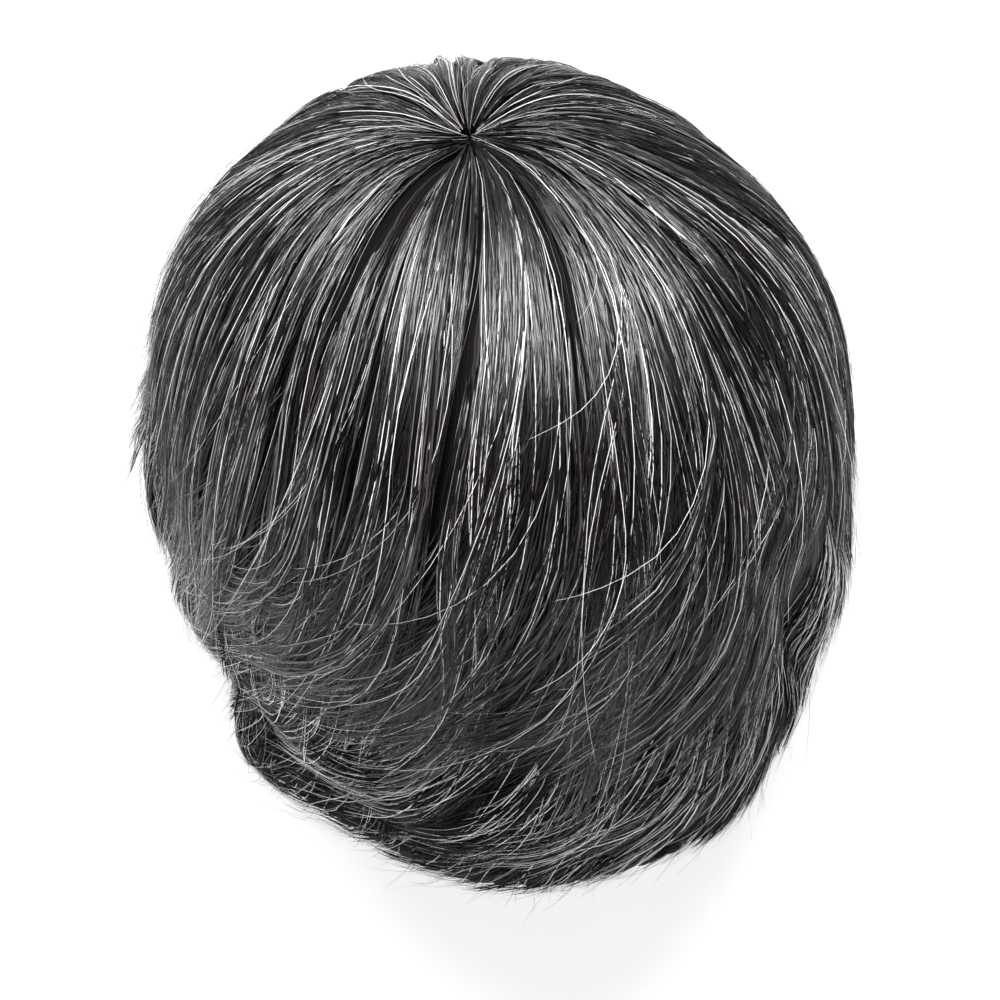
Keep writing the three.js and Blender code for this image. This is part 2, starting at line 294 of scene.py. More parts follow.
class LayerForm:
    """How far one layer's outside lies from the dome's middle, in every direction, read off its solids.

    Past the layer's own solids it keeps its distance from the outermost solids there. edge is the lowest
    elevation in each column where a solid was met, in degrees. The loft grows from elevation loft_from over
    loft_over degrees, and each direction is blurred with taps neighbours on either side.
    """

    columns = 180
    rows = 60
    lowest = 0.4
    blur = 1.6
    taps = 5
    far = 0.4
    loft_from = 5.0
    loft_over = 40.0

    def __init__(
        self,
        dome: Dome,
        nodes: list[str],
        outermost: "LayerForm | None" = None,
        loft: float = 0.0,
        dents: tuple[Dent, ...] = (),
    ) -> None:
        """Casts rays at the solids from outside and smooths what they meet.

        Args:
            dome: The directions' middle.
            nodes: The layer's solids.
            outermost: The form of all solids together, or none where this is it.
            loft: How far the loose hair stands above the solids high on the dome, in millimetres.
            dents: Where it lies deeper or stands off.
        """
        self.centre = dome.centre
        trees = [self.tree_of(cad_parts[node].data) for node in nodes]
        azimuths = np.arange(self.columns) * 2 * math.pi / self.columns
        elevations = np.radians(np.linspace(self.lowest, 90, self.rows))
        flat = np.cos(elevations)
        met = np.full((self.columns, self.rows), np.nan)
        for i, azimuth in enumerate(azimuths):
            for j, elevation in enumerate(elevations):
                way = Vector((flat[j] * math.cos(azimuth), flat[j] * math.sin(azimuth), math.sin(elevation)))
                start = Vector(self.centre) + way * self.far
                hits = [tree.ray_cast(start, -way, self.far)[3] for tree in trees]
                hits = [hit for hit in hits if hit is not None]
                if hits:
                    met[i, j] = self.far - min(hits)
        first = np.argmax(~np.isnan(met), axis=1)
        self.edge = np.degrees(elevations)[first]
        base = outermost.reach if outermost else 0.0
        self.reach = self.smoothed(self.filled(met - base) + base)
        self.reach += loft * MM * smooth((np.degrees(elevations) - self.loft_from) / self.loft_over)
        for dent in dents:
            self.reach -= dent(np.degrees(azimuths)[:, None], np.degrees(elevations)[None])

    @staticmethod
    def tree_of(mesh: Mesh) -> BVHTree:
        """Returns a search tree of a mesh's faces."""
        return BVHTree.FromPolygons([v.co for v in mesh.vertices], [p.vertices for p in mesh.polygons])

    def filled(self, met: np.ndarray) -> np.ndarray:
        """Carries each column's first and last value on to where the layer has no solid.

        Args:
            met: The distances that were met, a row for each column of directions, nan where there are none.

        Returns:
            The same with no nan left.
        """
        whole = met.copy()
        steps = np.arange(self.rows)
        empty = [i for i in range(self.columns) if np.isnan(met[i]).all()]
        for i in range(self.columns):
            known = ~np.isnan(met[i])
            if known.any():
                whole[i] = np.interp(steps, steps[known], met[i][known])
        for i in empty:
            whole[i] = np.nanmean(whole, axis=0)
        return whole

    def smoothed(self, reach: np.ndarray) -> np.ndarray:
        """Blurs the facets and single locks out of the reach, round the head and up it.

        Args:
            reach: The distances, a row for each column of directions.

        Returns:
            The blurred distances.
        """
        span = np.arange(-self.taps, self.taps + 1)
        weights = np.exp(-0.5 * (span / self.blur) ** 2)
        weights /= weights.sum()
        round_about = sum(w * np.roll(reach, s, axis=0) for s, w in zip(span, weights))
        padded = np.pad(round_about, ((0, 0), (self.taps, self.taps)), mode="edge")
        return sum(w * padded[:, self.taps + s :][:, : self.rows] for s, w in zip(span, weights))

    def __call__(self, directions: np.ndarray) -> np.ndarray:
        """Looks up the reach between the directions that were measured.

        Args:
            directions: Unit vectors from the dome's middle.

        Returns:
            The reach along each, in metres.
        """
        azimuth = np.arctan2(directions[..., 1], directions[..., 0])
        elevation = np.degrees(np.arcsin(np.clip(directions[..., 2], -1, 1)))
        x = np.mod(azimuth / (2 * math.pi), 1.0) * self.columns
        y = np.clip((elevation - self.lowest) / (90 - self.lowest) * (self.rows - 1), 0, self.rows - 1.001)
        i, j = np.floor(x).astype(int), np.floor(y).astype(int)
        u, v = x - i, y - j
        i, after = i % self.columns, (i + 1) % self.columns
        low = self.reach[i, j] * (1 - u) + self.reach[after, j] * u
        high = self.reach[i, j + 1] * (1 - u) + self.reach[after, j + 1] * u
        return low * (1 - v) + high * v


# Meshes from arrays


def mesh_object(name: str, points: np.ndarray, quads: np.ndarray, triangles: np.ndarray) -> Object:
    """Makes a smooth-shaded mesh object in the scene.

    Args:
        name: The piece's name.
        points: Vertices, a row each, in metres.
        quads: Four vertex numbers a row.
        triangles: Three vertex numbers a row.

    Returns:
        The new object.
    """
    mesh = bpy.data.meshes.new(name)
    corners = np.concatenate([quads.ravel(), triangles.ravel()]).astype(np.int32)
    starts = np.concatenate([np.arange(len(quads)) * 4, len(quads) * 4 + np.arange(len(triangles)) * 3])
    mesh.vertices.add(len(points))
    mesh.vertices.foreach_set("co", np.ascontiguousarray(points, np.float32).ravel())
    mesh.loops.add(len(corners))
    mesh.loops.foreach_set("vertex_index", corners)
    mesh.polygons.add(len(starts))
    mesh.polygons.foreach_set("loop_start", starts.astype(np.int32))
    mesh.polygons.foreach_set("use_smooth", np.ones(len(starts), bool))
    mesh.update(calc_edges=True)
    piece = bpy.data.objects.new(name, mesh)
    bpy.context.scene.collection.objects.link(piece)
    return piece


def point_values(piece: Object, name: str, values: np.ndarray) -> None:
    """Stores one number for each vertex of a piece.

    Args:
        piece: The mesh object.
        name: The name that a material reads the numbers by.
        values: A number for each vertex.
    """
    attribute = piece.data.attributes.new(name, "FLOAT", "POINT")
    attribute.data.foreach_set("value", np.ascontiguousarray(values, np.float32).ravel())


def point_vectors(piece: Object, name: str, vectors: np.ndarray) -> None:
    """Stores one vector for each vertex of a piece.

    Args:
        piece: The mesh object.
        name: The name that a material reads the vectors by.
        vectors: A vector for each vertex.
    """
    attribute = piece.data.attributes.new(name, "FLOAT_VECTOR", "POINT")
    attribute.data.foreach_set("vector", np.ascontiguousarray(vectors, np.float32).ravel())


def corner_vertices(piece: Object) -> np.ndarray:
    """Reads which vertex each face corner of a piece uses.

    Args:
        piece: The piece.

    Returns:
        A vertex number for each face corner.
    """
    corners = np.empty(len(piece.data.loops), np.int32)
    piece.data.loops.foreach_get("vertex_index", corners)
    return corners


def store_map(piece: Object, name: str, places: np.ndarray) -> None:
    """Stores a flat map of a piece.

    Args:
        piece: The mesh object.
        name: The map's name.
        places: Two coordinates for each face corner.
    """
    layer = piece.data.uv_layers.new(name=name)
    layer.data.foreach_set("uv", np.ascontiguousarray(places, np.float32).ravel())


@dataclass
class Strands:
    """Wisps or hairs, pointed at the tip. A wisp is a flat three-sided tube, and a hair a strip.

    paths has a row of points for each strand, outward the way out of the head at each point, and widths and
    heights half its size there. tones is one number from 0 to 1 for each strand, by which it is coloured.
    rolls is how far each strand is turned about itself, in radians, and sides 3 for tubes and 2 for strips.
    """

    paths: np.ndarray
    outward: np.ndarray
    widths: np.ndarray
    heights: np.ndarray
    tones: np.ndarray
    rolls: np.ndarray
    sides: int = 3

    def chosen(self, which: np.ndarray) -> "Strands":
        """Returns the strands that a mask names."""
        arrays = (self.paths, self.outward, self.widths, self.heights, self.tones, self.rolls)
        return Strands(*(array[which] for array in arrays), sides=self.sides)

    def turns(self) -> np.ndarray:
        """Returns the angle of each corner round a strand, the first at the top of a tube."""
        first = math.pi / 2 if self.sides == 3 else 0.0
        return first + np.arange(self.sides) * 2 * math.pi / self.sides

    def faces_round(self) -> int:
        """Returns how many faces there are round a strand."""
        return self.sides if self.sides > 2 else 1

    def build(self, name: str) -> Object:
        """Makes the strands as one mesh.

        Args:
            name: The piece's name.

        Returns:
            The mesh object, with the numbers that the finishes read, and a map with a cell for each strand.
        """
        count, steps, _ = self.paths.shape
        rings = steps - 1
        each = rings * self.sides + 1
        tangents = unit(np.gradient(self.paths, axis=1))
        level = unit(np.cross(tangents, self.outward))
        lean = self.rolls[:, None, None]
        across = level * np.cos(lean) + np.cross(level, tangents) * np.sin(lean)
        up = np.cross(across, tangents)
        corners = []
        for turn in self.turns():
            offset = math.cos(turn) * across * self.widths[..., None]
            offset += math.sin(turn) * up * self.heights[..., None]
            corners.append(self.paths + offset)
        tube = np.stack(corners, axis=2)[:, :rings].reshape(count, rings * self.sides, 3)
        points = np.concatenate([tube, self.paths[:, -1:]], axis=1).reshape(-1, 3)
        first = (np.arange(count) * each)[:, None, None]
        quads = (self.ring_quads(rings)[None] + first).reshape(-1, 4)
        triangles = (self.end_triangles(rings)[None] + first).reshape(-1, 3)
        piece = mesh_object(name, points, quads, triangles)
        self.store(piece, across, each)
        self.lay_out(piece, count, rings)
        return piece

    def store(self, piece: Object, across: np.ndarray, each: int) -> None:
        """Stores for each vertex what the finishes read.

        Args:
            piece: The mesh object.
            across: Unit vectors across each strand, at each of its points.
            each: How many vertices a strand has.
        """
        count, steps, _ = self.paths.shape
        steps -= 1
        share = np.append(np.repeat(np.arange(steps) / steps, self.sides), 1.0)
        # along runs from 0 at the root to 1 at the tip; the finishes paint shade by it near the root
        point_values(piece, "along", np.tile(share, count))
        point_values(piece, "tone", np.repeat(self.tones, each))
        grain = np.concatenate([np.repeat(across[:, :steps], self.sides, axis=1), across[:, -1:]], axis=1)
        point_vectors(piece, "grain", grain)
        lengths = np.linalg.norm(np.diff(self.paths, axis=1), axis=2)
        travelled = np.concatenate([np.zeros((count, 1)), np.cumsum(lengths, axis=1)], axis=1) / MM
        apart = self.tones[:, None, None] * TONE_SPREAD_MM
        sideways = (apart + self.widths[:, :steps, None] * np.cos(self.turns()) / MM).reshape(count, -1)
        places = np.stack([
            np.concatenate([sideways, apart[:, 0]], axis=1),
            np.concatenate([np.repeat(travelled[:, :steps], self.sides, axis=1), travelled[:, -1:]], axis=1),
        ], axis=-1)
        store_map(piece, HAIR_MAP, places.reshape(-1, 2)[corner_vertices(piece)])

    def ring_quads(self, rings: int) -> np.ndarray:
        """Joins the rings of one strand by faces.

        Args:
            rings: How many rings the strand has.

        Returns:
            Four vertex numbers for each side face.
        """
        ring = np.arange(rings - 1)[:, None] * self.sides
        side = np.arange(self.faces_round())[None]
        after = (side + 1) % self.sides
        faces = [ring + side, ring + self.sides + side, ring + self.sides + after, ring + after]
        return np.stack(faces, axis=-1).reshape(-1, 4)

    def end_triangles(self, rings: int) -> np.ndarray:
        """Closes one strand at its ends.

        Args:
            rings: How many rings the strand has.

        Returns:
            Three vertex numbers for each face of the tip and for the root's end.
        """
        last = (rings - 1) * self.sides
        tip = rings * self.sides
        point = [[last + s, tip, last + (s + 1) % self.sides] for s in range(self.faces_round())]
        root = [[0, 1, 2]] if self.sides == 3 else []
        return np.array(point + root)

    def lay_out(self, piece: Object, count: int, rings: int) -> None:
        """Lays each strand out in a cell of its own on a flat map, along it one way and round it the other.

        Args:
            piece: The mesh object.
            count: How many strands it holds.
            rings: How many rings of corners a strand has.
        """
        across = math.ceil(math.sqrt(count))
        ring = np.arange(rings - 1)[:, None]
        round_about = self.faces_round()
        side = np.arange(round_about)[None]
        low, high = side / round_about + ring * 0, (side + 1) / round_about + ring * 0
        start, end = ring / rings + side * 0.0, (ring + 1) / rings + side * 0.0
        turns = ((low, start), (low, end), (high, end), (high, start))
        quads = np.stack([np.stack(corner, axis=-1) for corner in turns], axis=2).reshape(-1, 2)
        last = (rings - 1) / rings
        ends = []
        for s in range(round_about):
            ends += [[s / round_about, last], [(s + 0.5) / round_about, 1], [(s + 1) / round_about, last]]
        if self.sides == 3:
            ends += [[0.1, 0.0], [0.5, 0.05], [0.9, 0.0]]
        cell = np.stack([np.arange(count) % across, np.arange(count) // across], axis=-1)[:, None, :]
        margin = 0.08
        places = [
            ((cell + margin + (1 - 2 * margin) * np.asarray(part)[None]) / across).reshape(-1, 2)
            for part in (quads, ends)
        ]
        store_map(piece, BAKE_MAP, np.concatenate(places))


# The comb: locks, wisps and single hairs


@dataclass(frozen=True)
class Cut:
    """How one layer's locks are cut and combed.

    It has so many locks, wisps in each lock and hairs on each wisp, and points are how many points a wisp
    and a hair have.
    starts and ends are the shares of the way from whorl to hem where the layer's roots and tips lie, and
    crowding is the share of locks that start at the very first root. width is a lock's width where its row
    is widest, depth how deep its wisps lie and buried how far its roots go in, in millimetres. hook is how
    far the comb's curl turns this layer's tips, as a share, bends where along a lock that starts, and
    waves how far a lock weaves, in degrees. unruly is how far groups of locks, locks, wisps and hairs
    stray from the comb's curl, in degrees. pale is how many times the comb's share of white hairs it has
    and growth how much thicker those are. cropped is how much shorter it is by the hollow, as a share of
    the way down, and hub the share of its hairs that meet at the whorl.
    """

    layer: Layer
    locks: int
    wisps: int
    hairs: int
    points: tuple[int, int]
    starts: tuple[float, float]
    ends: tuple[float, float]
    crowding: float
    width: float
    depth: float
    buried: float
    hook: float
    bends: tuple[float, float]
    waves: float
    unruly: tuple[float, float, float, float]
    pale: float
    growth: float
    cropped: float
    hub: float
    seed: int


TOP_CUT = Cut(
    layer=Layer.TOP, locks=210, wisps=8, hairs=5, points=(13, 18), starts=(-0.05, 0.3), ends=(0.54, 0.73),
    crowding=0.45, width=15, depth=2.0, buried=3.4, hook=1.0, bends=(0.4, 0.62), waves=11,
    unruly=(12, 9, 5, 7), pale=0.62, growth=0.25, cropped=0.14, hub=0.006, seed=11,
)
MID_CUT = Cut(
    layer=Layer.MID, locks=230, wisps=6, hairs=5, points=(9, 14), starts=(0.36, 0.58), ends=(0.7, 0.92),
    crowding=0.0, width=13, depth=2.4, buried=4.0, hook=1.15, bends=(-0.1, 0.3), waves=7,
    unruly=(10, 8, 4, 6), pale=1.4, growth=0.6, cropped=0.1, hub=0.0, seed=23,
)
HEM_CUT = Cut(
    layer=Layer.HEM, locks=220, wisps=6, hairs=5, points=(8, 12), starts=(0.56, 0.84), ends=(0.95, 1.1),
    crowding=0.0, width=15, depth=2.2, buried=3.4, hook=0.95, bends=(-0.4, 0.2), waves=7,
    unruly=(11, 9, 5, 7), pale=0.95, growth=0.55, cropped=0.0, hub=0.0, seed=37,
)


@dataclass
class WispRow:
    """Where wisps or hairs lie and how they run, one number each.

    offset and height are millimetres beside the lock's middle and over the layer's form. turn is how far
    the tip hooks round, wave how far the lock weaves and sway the strand alone, in degrees, and bend is
    where along it the hook starts. lift is how far the tip stands off, in millimetres, from loose on. tone
    is its place among the hair's colours.
    """

    azimuth: np.ndarray
    start: np.ndarray
    end: np.ndarray
    offset: np.ndarray
    height: np.ndarray
    turn: np.ndarray
    bend: np.ndarray
    wave: np.ndarray
    phase: np.ndarray
    sway: np.ndarray
    lift: np.ndarray
    loose: np.ndarray
    tone: np.ndarray

    def chosen(self, which: np.ndarray) -> "WispRow":
        """Returns the rows at these numbers."""
        return WispRow(**{name: getattr(self, name)[which] for name in self.__dataclass_fields__})


class Drift:
    """A chance number that changes smoothly round the head, so that neighbouring locks go the same way."""

    slowest = 6
    fastest = 28

    def __init__(self, rng: np.random.Generator) -> None:
        """Draws the waves that it is made of."""
        self.turns = np.arange(self.slowest, self.fastest + 1)
        self.phases = rng.uniform(0, 2 * math.pi, len(self.turns))

    def __call__(self, azimuth: np.ndarray) -> np.ndarray:
        """Returns the number at azimuths in degrees, about -2 to 2."""
        waves = np.sin(np.radians(azimuth)[..., None] * self.turns + self.phases)
        return waves.sum(axis=-1) * math.sqrt(2 / len(self.turns))


class Comb:
    """Combs hairs over the layers' forms.

    Widths, thicknesses, rises, lifts and the ridge of a lock are millimetres, and turns, sways and bunching
    degrees. Starts, ends and their spreads are shares of the way from whorl to hem, and loose is the share
    of a strand where it starts to stand off. A hair strays across its wisp by a share of the wisp's width.
    """

    flow_step = 0.02
    tip_crowding = 1.4
    bunching = 0.8
    hook_range = (0.8, 1.15)
    hook_reach = 0.75
    lock_lift = 1.2
    lock_closing = 0.68
    lock_ridge = 1.2
    root_angle = 0.3
    root_share = 0.14
    wisp_width = 1.4
    wisp_thickness = 0.5
    wisp_turn_rate = 1.3
    wisp_sway = 2.0
    wisp_loose = 0.65
    wisp_start_spread = 0.04
    wisp_end_spread = 0.015
    hair_width = 0.15
    hair_roll = 0.6
    hair_stray = 0.6
    hair_sway = 2.0
    hair_rise = (0.1, 0.7)
    hair_start_spread = 0.06
    hair_end_spread = 0.022
    pale_rise = 0.25
    pale_lift = 0.5
    hollow_painted_shade = 0.9
    hub_start = -0.06
    hub_ends = (0.1, 0.45)
    hub_tones = (0.8, 1.0)
    hub_rise = 0.3
    wild_share = 0.16
    wild_turn = 14.0
    wild_lift = 2.0
    wild_loose = (0.0, 0.6)
    front = 270.0

    def __init__(self, dome: Dome, forms: dict[Layer, LayerForm]) -> None:
        """Keeps the directions and the forms to comb over."""
        self.dome = dome
        self.forms = forms

    def spread_azimuths(self, rng: np.random.Generator, count: int, along: float) -> np.ndarray:
        """Spreads hem azimuths so that locks lie evenly side by side.

        Args:
            rng: The source of chance.
            count: How many azimuths.
            along: Where on the way from whorl to hem they are even.

        Returns:
            Hem azimuths in degrees, in a mixed order.
        """
        grid = np.arange(0, 361.0)
        line = self.dome.directions(grid, np.full_like(grid, along))
        steps = np.linalg.norm(np.diff(line, axis=0), axis=1)
        travelled = np.concatenate([[0], np.cumsum(steps)])
        wanted = (np.arange(count) + rng.uniform(0, 1, count)) / count * travelled[-1]
        return rng.permutation(np.interp(wanted, travelled, grid))

    def lay(
        self, layer: Layer, azimuth: np.ndarray, along: np.ndarray, sideways: np.ndarray
    ) -> tuple[np.ndarray, np.ndarray]:
        """Finds points beside flow lines on a layer's form.

        Args:
            layer: The layer that they lie on.
            azimuth: Hem azimuth at each point, a row for each strand.
            along: Share of the way down at each point.
            sideways: How far each point lies to the side of its flow line, in metres.

        Returns:
            The points' unit directions, and the form's reach in each.
        """
        here = self.dome.directions(azimuth, along)
        further = self.dome.directions(azimuth, along + self.flow_step)
        side = unit(np.cross(further - here, here))
        form = self.forms[layer]
        turned = unit(here + side * (sideways / form(here))[..., None])
        return turned, form(turned)

    def tones(self, rng: np.random.Generator, azimuth: np.ndarray, pale: float) -> np.ndarray:
        """Draws each hair's place among the hair's colours, with the comb's share of grey and white.

        Args:
            rng: The source of chance.
            azimuth: The hairs' hem azimuths.
            pale: How many times that share.

        Returns:
            Tones from 0, darkest, to 1, white.
        """
        # Painted shade: the hollow beside the side lock gets fewer grey and white hairs, so that the recess
        # looks dark
        share = 1 - combed("white", azimuth) * pale * (1 - self.hollow_painted_shade * by_hollow(azimuth))
        draw = rng.uniform(0, 1, azimuth.shape)
        pale_tone = 1 - (1 - DARK_SHARE) * (1 - draw) / (1 - share)
        return np.where(draw < share, draw / share * DARK_SHARE, pale_tone)

    def cut(self, plan: Cut) -> tuple[Strands, Strands, np.ndarray, np.ndarray]:
        """Combs one whole layer.

        Args:
            plan: How the layer is cut.

        Returns:
            The wisps and the single hairs, and the hem azimuth of each of them.
        """
        rng = np.random.default_rng(plan.seed)
        wisps = self.wisp_rows(rng, plan)
        hairs = self.hair_rows(rng, plan, wisps)
        flat = self.strands(rng, plan, wisps, plan.points[0], self.wisp_width, self.wisp_thickness)
        single = self.strands(rng, plan, hairs, plan.points[1], self.hair_width, 0.0)
        return flat, single, wisps.azimuth, hairs.azimuth

    def wisp_rows(self, rng: np.random.Generator, plan: Cut) -> WispRow:
        """Lays out a layer's wisps, lock by lock.

        Args:
            rng: The source of chance.
            plan: How the layer is cut.

        Returns:
            The wisps.
        """
        locks, wisps = plan.locks, plan.locks * plan.wisps
        lock = np.repeat(np.arange(locks), plan.wisps)
        group, weave, flow, bunch = Drift(rng), Drift(rng), Drift(rng), Drift(rng)
        azimuth = self.spread_azimuths(rng, locks, sum(plan.ends) / 2)
        azimuth = azimuth + self.bunching * bunch(azimuth)
        fall = combed("fall", azimuth)
        late = np.where(rng.uniform(0, 1, locks) < plan.crowding, 0.0, rng.uniform(0, 1, locks))
        start = plan.starts[0] + (plan.starts[1] - plan.starts[0]) * late
        end = rng.uniform(*plan.ends, locks)
        end = end + 4 * fall * end * (1 - end) - plan.cropped * by_hollow(azimuth)
        turn = combed("curl", azimuth) * plan.hook * rng.uniform(*self.hook_range, locks)
        turn += plan.unruly[0] * group(azimuth) + rng.normal(0, plan.unruly[1], locks)
        flick = combed("flick", azimuth) * (0.6 + 0.4 * group(azimuth))
        return WispRow(
            azimuth=azimuth[lock],
            start=start[lock] + rng.uniform(0, self.wisp_start_spread, wisps),
            end=end[lock] + rng.normal(0, self.wisp_end_spread, wisps),
            offset=rng.uniform(-0.5, 0.5, wisps) * plan.width,
            height=rng.normal(0, 1.0, locks)[lock] - rng.uniform(0, 1, wisps) ** 1.4 * plan.depth,
            turn=turn[lock] + rng.normal(0, plan.unruly[2], wisps),
            bend=rng.uniform(*plan.bends, locks)[lock],
            wave=(plan.waves * weave(azimuth))[lock],
            phase=(1.5 * flow(azimuth) + rng.normal(0, 0.4, locks))[lock],
            sway=rng.normal(0, self.wisp_sway, wisps),
            lift=(rng.uniform(0, self.lock_lift, locks) + np.clip(flick, 0, None))[lock],
            loose=np.full(wisps, self.wisp_loose),
            tone=self.tones(rng, azimuth[lock], plan.pale),
        )

    def hair_rows(self, rng: np.random.Generator, plan: Cut, wisps: WispRow) -> WispRow:
        """Lays out the single hairs over the wisps, a few of which stand off or meet at the whorl.

        Args:
            rng: The source of chance.
            plan: How the layer is cut.
            wisps: The wisps that they lie on.

        Returns:
            The hairs.
        """
        hairs = wisps.chosen(np.repeat(np.arange(len(wisps.azimuth)), plan.hairs))
        count = len(hairs.azimuth)
        wild = rng.uniform(0, 1, count) < self.wild_share
        behind = 1 - np.abs(np.mod(hairs.azimuth - self.front, 360) - 180) / 180
        hub = rng.uniform(0, 1, count) < plan.hub * behind * 2
        hub_tone = rng.uniform(*self.hub_tones, count)
        hairs.tone = np.where(hub, hub_tone, self.tones(rng, hairs.azimuth, plan.pale))
        pale = smooth((hairs.tone - DARK_SHARE) / (1 - DARK_SHARE))
        start = hairs.start + rng.uniform(0, self.hair_start_spread, count)
        hairs.start = np.where(hub, self.hub_start, start)
        hub_end = rng.uniform(*self.hub_ends, count)
        hairs.end = np.where(hub, hub_end, hairs.end + rng.normal(0, self.hair_end_spread, count))
        stray = rng.normal(0, self.hair_stray, count) * self.wisp_width
        hairs.offset = np.where(hub, 0.0, hairs.offset + stray)
        rise = rng.uniform(*self.hair_rise, count) + self.pale_rise * pale + self.hub_rise * hub
        hairs.height = hairs.height * 0.4 + rise
        hairs.turn += rng.normal(0, plan.unruly[3], count) * (1 + pale)
        hairs.turn = np.where(wild, 0.7 * hairs.turn + rng.normal(0, self.wild_turn, count), hairs.turn)
        hairs.bend = np.where(wild, 0.5 * hairs.bend, hairs.bend)
        hairs.sway += rng.normal(0, self.hair_sway, count)
        hairs.lift += wild * rng.exponential(self.wild_lift, count) + self.pale_lift * pale
        hairs.loose = np.where(wild, rng.uniform(*self.wild_loose, count), hairs.loose)
        return hairs

    def strands(
        self, rng: np.random.Generator, plan: Cut, row: WispRow, points: int, wide: float, thick: float
    ) -> Strands:
        """Draws the strands of a row over the layer's form.

        Args:
            rng: The source of chance.
            plan: How the layer is cut.
            row: The strands' places and ways.
            points: How many points each has.
            wide: Their width, in millimetres.
            thick: Their thickness, in millimetres, or 0 for single hairs.

        Returns:
            The strands.
        """
        even = np.linspace(0, 1, points)[None]
        share = 1 - (1 - even) ** self.tip_crowding
        whole = self.dome.whole_angle(row.azimuth)[:, None]
        length = (row.end - row.start)[:, None] * whole * MEAN_REACH
        bent = (share - row.bend[:, None]) / (1 - row.bend[:, None])
        hooked = smooth(bent * self.hook_reach) / smooth(self.hook_reach)
        weave = row.wave[:, None] * np.sin(2 * math.pi * share + row.phase[:, None]) * smooth(2 * share)
        phase = (3 * row.phase + row.sway)[:, None]
        weave += row.sway[:, None] * np.sin(2 * math.pi * self.wisp_turn_rate * share + phase)
        heading = np.radians(row.turn[:, None] * hooked + weave)
        heading[:, 1:] = (heading[:, 1:] + heading[:, :-1]) / 2
        step = length * np.diff(share, prepend=0.0)
        ahead = np.cumsum(np.cos(heading) * step, axis=1)
        aside = np.cumsum(np.sin(heading) * step, axis=1)
        along = row.start[:, None] + ahead / (whole * MEAN_REACH)
        angle = self.dome.rim + along * (whole - self.dome.rim)
        fan = np.sin(np.clip(angle, 0.03, math.pi / 2))
        sideways = row.offset[:, None] * MM * fan * (1 - self.lock_closing * share**1.3) + aside
        azimuth = row.azimuth[:, None] + 0 * share
        turned, reach = self.lay(plan.layer, azimuth, np.minimum(along, 1.0), sideways)
        ridge = (row.offset / (0.5 * plan.width)) ** 2 * self.lock_ridge
        height = (row.height - ridge)[:, None]
        root = smooth(angle / self.root_angle)[:, :1] * (1 - smooth(share / self.root_share))
        height = height - plan.buried * root
        freed = np.clip((share - row.loose[:, None]) / (1 - row.loose[:, None]), 0, 1)
        height = height + row.lift[:, None] * freed**2
        paths = self.dome.centre + turned * (reach + height * MM)[..., None]
        taper = (0.7 + 0.3 * smooth(share * 4)) * (1 - 0.75 * share**3)
        size = rng.uniform(0.75, 1.15, len(whole))[:, None] * taper * 0.5 * MM
        pale = 1 + plan.growth * smooth((row.tone - DARK_SHARE) / (1 - DARK_SHARE))[:, None]
        widths = size * wide * (0.3 + 0.7 * fan if thick else pale)
        heights = size * thick
        paths[..., 2] = np.maximum(paths[..., 2], np.maximum(widths, heights) * 1.1)
        if thick:
            return Strands(paths, turned, widths, heights, row.tone, np.zeros(len(whole)))
        rolls = rng.normal(0, self.hair_roll, len(whole))
        return Strands(paths, turned, widths, heights, row.tone, rolls, sides=2)


# Finishes


def add_node(
    tree: NodeTree, kind: str, inputs: dict[str | int, object] | None = None, **settings: object
) -> Node:
    """Adds a node with its settings, and sets or links its inputs.

    Args:
        tree: The node tree to add to.
        kind: The node's type name.
        inputs: Values or output sockets, by the name or number of the input.
        **settings: The node's own properties.

    Returns:
        The new node.
    """
    node = tree.nodes.new(kind)
    for name, value in settings.items():
        setattr(node, name, value)
    for name, value in (inputs or {}).items():
        if isinstance(value, NodeSocket):
            tree.links.new(value, node.inputs[name])
        else:
            node.inputs[name].default_value = value
    return node


def new_material(name: str) -> tuple[Material, NodeTree]:
    """Makes an empty node material.

    Args:
        name: The material's name.

    Returns:
        The material and its tree.
    """
    material = bpy.data.materials.new(name)
    material.use_nodes = True
    material.node_tree.nodes.clear()
    return material, material.node_tree


def set_ramp(node: Node, stops: tuple[tuple[float, str], ...]) -> None:
    """Gives a colour ramp its stops.

    Args:
        node: The ramp.
        stops: Places from 0 to 1 and their colours.
    """
    elements = node.color_ramp.elements
    while len(elements) < len(stops):
        elements.new(0.5)
    for element, (place, colour) in zip(elements, stops):
        element.position = place
        element.color = linear(colour)


